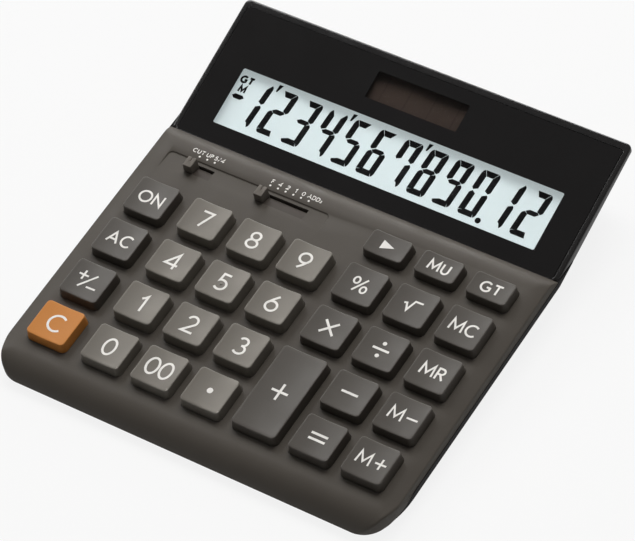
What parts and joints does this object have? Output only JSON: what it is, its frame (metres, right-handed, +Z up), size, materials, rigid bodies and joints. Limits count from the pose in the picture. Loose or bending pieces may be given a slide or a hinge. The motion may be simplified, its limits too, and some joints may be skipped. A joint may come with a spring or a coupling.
{
  "type": "desktop calculator",
  "caption": "Desktop calculator with a sloping keyboard of square push keys, two slide selectors and a raised display with a solar panel.",
  "frame": {"origin": "centre of the bounding box in plan, on the surface that the rubber feet stand on", "axes": "+X to the user's right along the display, +Y away from the user towards the raised display, +Z up"},
  "size_m": [0.1506, 0.1589, 0.0284],
  "materials": {
    "deck_plastic": "fine satin, warm dark grey",
    "shell_plastic": "fine matte black",
    "housing_plastic": "satin black",
    "window_panel": "clear sheet, printed black behind its border",
    "display_glass": "pale grey-green display glass",
    "inner_plastic": "natural moulded",
    "film": "amber film",
    "solar_glass": "dark brown cell",
    "lead_insulation": "smooth",
    "board": "lacquered board",
    "silicone": "translucent grey silicone",
    "resin": "black resin",
    "battery_steel": "nickelled can",
    "contact_metal": "plated spring metal",
    "screw_steel": "zinc plated",
    "foot_rubber": "soft black",
    "digit_key_plastic": "fine satin, light grey-brown",
    "function_key_plastic": "fine satin, dark grey-brown",
    "clear_key_plastic": "fine satin, orange",
    "selector_plastic": "fine satin"
  },
  "bodies": {
    "case": {"upper_case": "deck_plastic", "lower_case": "shell_plastic", "display_frame": "housing_plastic", "display_lens": "window_panel", "lcd_cell": "display_glass", "lcd_holder": "inner_plastic", "lcd_ribbon": "film", "solar_cell": "solar_glass", "solar_leads": "lead_insulation", "main_board": "board", "contact_sheet": "silicone", "controller_chip": "resin", "battery_cell": "battery_steel", "battery_cover": "shell_plastic", "battery_contact_positive": "contact_metal", "battery_contact_negative": "contact_metal", "battery_leads": "lead_insulation", "battery_cover_screw": "screw_steel", "case_screws": "screw_steel", "board_screws": "screw_steel", "holder_screws": "screw_steel", "rubber_feet": "foot_rubber"},
    "key_0_body": {"key_0": "digit_key_plastic"},
    "key_1_body": {"key_1": "digit_key_plastic"},
    "key_2_body": {"key_2": "digit_key_plastic"},
    "key_3_body": {"key_3": "digit_key_plastic"},
    "key_4_body": {"key_4": "digit_key_plastic"},
    "key_5_body": {"key_5": "digit_key_plastic"},
    "key_6_body": {"key_6": "digit_key_plastic"},
    "key_7_body": {"key_7": "digit_key_plastic"},
    "key_8_body": {"key_8": "digit_key_plastic"},
    "key_9_body": {"key_9": "digit_key_plastic"},
    "key_00_body": {"key_00": "digit_key_plastic"},
    "key_point_body": {"key_point": "digit_key_plastic"},
    "key_sign_body": {"key_sign": "function_key_plastic"},
    "key_all_clear_body": {"key_all_clear": "function_key_plastic"},
    "key_on_body": {"key_on": "function_key_plastic"},
    "key_plus_body": {"key_plus": "function_key_plastic"},
    "key_equals_body": {"key_equals": "function_key_plastic"},
    "key_memory_plus_body": {"key_memory_plus": "function_key_plastic"},
    "key_minus_body": {"key_minus": "function_key_plastic"},
    "key_memory_minus_body": {"key_memory_minus": "function_key_plastic"},
    "key_times_body": {"key_times": "function_key_plastic"},
    "key_divide_body": {"key_divide": "function_key_plastic"},
    "key_memory_recall_body": {"key_memory_recall": "function_key_plastic"},
    "key_percent_body": {"key_percent": "function_key_plastic"},
    "key_root_body": {"key_root": "function_key_plastic"},
    "key_memory_clear_body": {"key_memory_clear": "function_key_plastic"},
    "key_backspace_body": {"key_backspace": "function_key_plastic"},
    "key_mark_up_body": {"key_mark_up": "function_key_plastic"},
    "key_grand_total_body": {"key_grand_total": "function_key_plastic"},
    "key_clear_body": {"key_clear": "clear_key_plastic"},
    "rounding_selector": {"rounding_knob": "selector_plastic", "rounding_wiper": "contact_metal"},
    "decimal_selector": {"decimal_knob": "selector_plastic", "decimal_wiper": "contact_metal"}
  },
  "joints": [
    {"name": "key_0_press", "type": "slide", "parent": "case", "child": "key_0_body", "axis": [0, 0.0698, -0.9976], "range_m": [0, 0.0016], "stiffness_N_per_m": 375, "springref_m": -0.0004, "deforming": ["contact_sheet"]},
    {"name": "key_1_press", "type": "slide", "parent": "case", "child": "key_1_body", "axis": [0, 0.0698, -0.9976], "range_m": [0, 0.0016], "stiffness_N_per_m": 375, "springref_m": -0.0004, "deforming": ["contact_sheet"]},
    {"name": "key_2_press", "type": "slide", "parent": "case", "child": "key_2_body", "axis": [0, 0.0698, -0.9976], "range_m": [0, 0.0016], "stiffness_N_per_m": 375, "springref_m": -0.0004, "deforming": ["contact_sheet"]},
    {"name": "key_3_press", "type": "slide", "parent": "case", "child": "key_3_body", "axis": [0, 0.0698, -0.9976], "range_m": [0, 0.0016], "stiffness_N_per_m": 375, "springref_m": -0.0004, "deforming": ["contact_sheet"]},
    {"name": "key_4_press", "type": "slide", "parent": "case", "child": "key_4_body", "axis": [0, 0.0698, -0.9976], "range_m": [0, 0.0016], "stiffness_N_per_m": 375, "springref_m": -0.0004, "deforming": ["contact_sheet"]},
    {"name": "key_5_press", "type": "slide", "parent": "case", "child": "key_5_body", "axis": [0, 0.0698, -0.9976], "range_m": [0, 0.0016], "stiffness_N_per_m": 375, "springref_m": -0.0004, "deforming": ["contact_sheet"]},
    {"name": "key_6_press", "type": "slide", "parent": "case", "child": "key_6_body", "axis": [0, 0.0698, -0.9976], "range_m": [0, 0.0016], "stiffness_N_per_m": 375, "springref_m": -0.0004, "deforming": ["contact_sheet"]},
    {"name": "key_7_press", "type": "slide", "parent": "case", "child": "key_7_body", "axis": [0, 0.0698, -0.9976], "range_m": [0, 0.0016], "stiffness_N_per_m": 375, "springref_m": -0.0004, "deforming": ["contact_sheet"]},
    {"name": "key_8_press", "type": "slide", "parent": "case", "child": "key_8_body", "axis": [0, 0.0698, -0.9976], "range_m": [0, 0.0016], "stiffness_N_per_m": 375, "springref_m": -0.0004, "deforming": ["contact_sheet"]},
    {"name": "key_9_press", "type": "slide", "parent": "case", "child": "key_9_body", "axis": [0, 0.0698, -0.9976], "range_m": [0, 0.0016], "stiffness_N_per_m": 375, "springref_m": -0.0004, "deforming": ["contact_sheet"]},
    {"name": "key_00_press", "type": "slide", "parent": "case", "child": "key_00_body", "axis": [0, 0.0698, -0.9976], "range_m": [0, 0.0016], "stiffness_N_per_m": 375, "springref_m": -0.0004, "deforming": ["contact_sheet"]},
    {"name": "key_point_press", "type": "slide", "parent": "case", "child": "key_point_body", "axis": [0, 0.0698, -0.9976], "range_m": [0, 0.0016], "stiffness_N_per_m": 375, "springref_m": -0.0004, "deforming": ["contact_sheet"]},
    {"name": "key_sign_press", "type": "slide", "parent": "case", "child": "key_sign_body", "axis": [0, 0.0698, -0.9976], "range_m": [0, 0.0016], "stiffness_N_per_m": 375, "springref_m": -0.0004, "deforming": ["contact_sheet"]},
    {"name": "key_all_clear_press", "type": "slide", "parent": "case", "child": "key_all_clear_body", "axis": [0, 0.0698, -0.9976], "range_m": [0, 0.0016], "stiffness_N_per_m": 375, "springref_m": -0.0004, "deforming": ["contact_sheet"]},
    {"name": "key_on_press", "type": "slide", "parent": "case", "child": "key_on_body", "axis": [0, 0.0698, -0.9976], "range_m": [0, 0.0016], "stiffness_N_per_m": 375, "springref_m": -0.0004, "deforming": ["contact_sheet"]},
    {"name": "key_plus_press", "type": "slide", "parent": "case", "child": "key_plus_body", "axis": [0, 0.0698, -0.9976], "range_m": [0, 0.0016], "stiffness_N_per_m": 375, "springref_m": -0.0004, "deforming": ["contact_sheet"]},
    {"name": "key_equals_press", "type": "slide", "parent": "case", "child": "key_equals_body", "axis": [0, 0.0698, -0.9976], "range_m": [0, 0.0016], "stiffness_N_per_m": 375, "springref_m": -0.0004, "deforming": ["contact_sheet"]},
    {"name": "key_memory_plus_press", "type": "slide", "parent": "case", "child": "key_memory_plus_body", "axis": [0, 0.0698, -0.9976], "range_m": [0, 0.0016], "stiffness_N_per_m": 375, "springref_m": -0.0004, "deforming": ["contact_sheet"]},
    {"name": "key_minus_press", "type": "slide", "parent": "case", "child": "key_minus_body", "axis": [0, 0.0698, -0.9976], "range_m": [0, 0.0016], "stiffness_N_per_m": 375, "springref_m": -0.0004, "deforming": ["contact_sheet"]},
    {"name": "key_memory_minus_press", "type": "slide", "parent": "case", "child": "key_memory_minus_body", "axis": [0, 0.0698, -0.9976], "range_m": [0, 0.0016], "stiffness_N_per_m": 375, "springref_m": -0.0004, "deforming": ["contact_sheet"]},
    {"name": "key_times_press", "type": "slide", "parent": "case", "child": "key_times_body", "axis": [0, 0.0698, -0.9976], "range_m": [0, 0.0016], "stiffness_N_per_m": 375, "springref_m": -0.0004, "deforming": ["contact_sheet"]},
    {"name": "key_divide_press", "type": "slide", "parent": "case", "child": "key_divide_body", "axis": [0, 0.0698, -0.9976], "range_m": [0, 0.0016], "stiffness_N_per_m": 375, "springref_m": -0.0004, "deforming": ["contact_sheet"]},
    {"name": "key_memory_recall_press", "type": "slide", "parent": "case", "child": "key_memory_recall_body", "axis": [0, 0.0698, -0.9976], "range_m": [0, 0.0016], "stiffness_N_per_m": 375, "springref_m": -0.0004, "deforming": ["contact_sheet"]},
    {"name": "key_percent_press", "type": "slide", "parent": "case", "child": "key_percent_body", "axis": [0, 0.0698, -0.9976], "range_m": [0, 0.0016], "stiffness_N_per_m": 375, "springref_m": -0.0004, "deforming": ["contact_sheet"]},
    {"name": "key_root_press", "type": "slide", "parent": "case", "child": "key_root_body", "axis": [0, 0.0698, -0.9976], "range_m": [0, 0.0016], "stiffness_N_per_m": 375, "springref_m": -0.0004, "deforming": ["contact_sheet"]},
    {"name": "key_memory_clear_press", "type": "slide", "parent": "case", "child": "key_memory_clear_body", "axis": [0, 0.0698, -0.9976], "range_m": [0, 0.0016], "stiffness_N_per_m": 375, "springref_m": -0.0004, "deforming": ["contact_sheet"]},
    {"name": "key_backspace_press", "type": "slide", "parent": "case", "child": "key_backspace_body", "axis": [0, 0.0698, -0.9976], "range_m": [0, 0.0016], "stiffness_N_per_m": 375, "springref_m": -0.0004, "deforming": ["contact_sheet"]},
    {"name": "key_mark_up_press", "type": "slide", "parent": "case", "child": "key_mark_up_body", "axis": [0, 0.0698, -0.9976], "range_m": [0, 0.0016], "stiffness_N_per_m": 375, "springref_m": -0.0004, "deforming": ["contact_sheet"]},
    {"name": "key_grand_total_press", "type": "slide", "parent": "case", "child": "key_grand_total_body", "axis": [0, 0.0698, -0.9976], "range_m": [0, 0.0016], "stiffness_N_per_m": 375, "springref_m": -0.0004, "deforming": ["contact_sheet"]},
    {"name": "key_clear_press", "type": "slide", "parent": "case", "child": "key_clear_body", "axis": [0, 0.0698, -0.9976], "range_m": [0, 0.0016], "stiffness_N_per_m": 375, "springref_m": -0.0004, "deforming": ["contact_sheet"]},
    {"name": "rounding_slide", "type": "slide", "parent": "case", "child": "rounding_selector", "axis": [1, 0, 0], "range_m": [0, 0.00602]},
    {"name": "decimal_slide", "type": "slide", "parent": "case", "child": "decimal_selector", "axis": [1, 0, 0], "range_m": [0, 0.01505]}
  ]
}
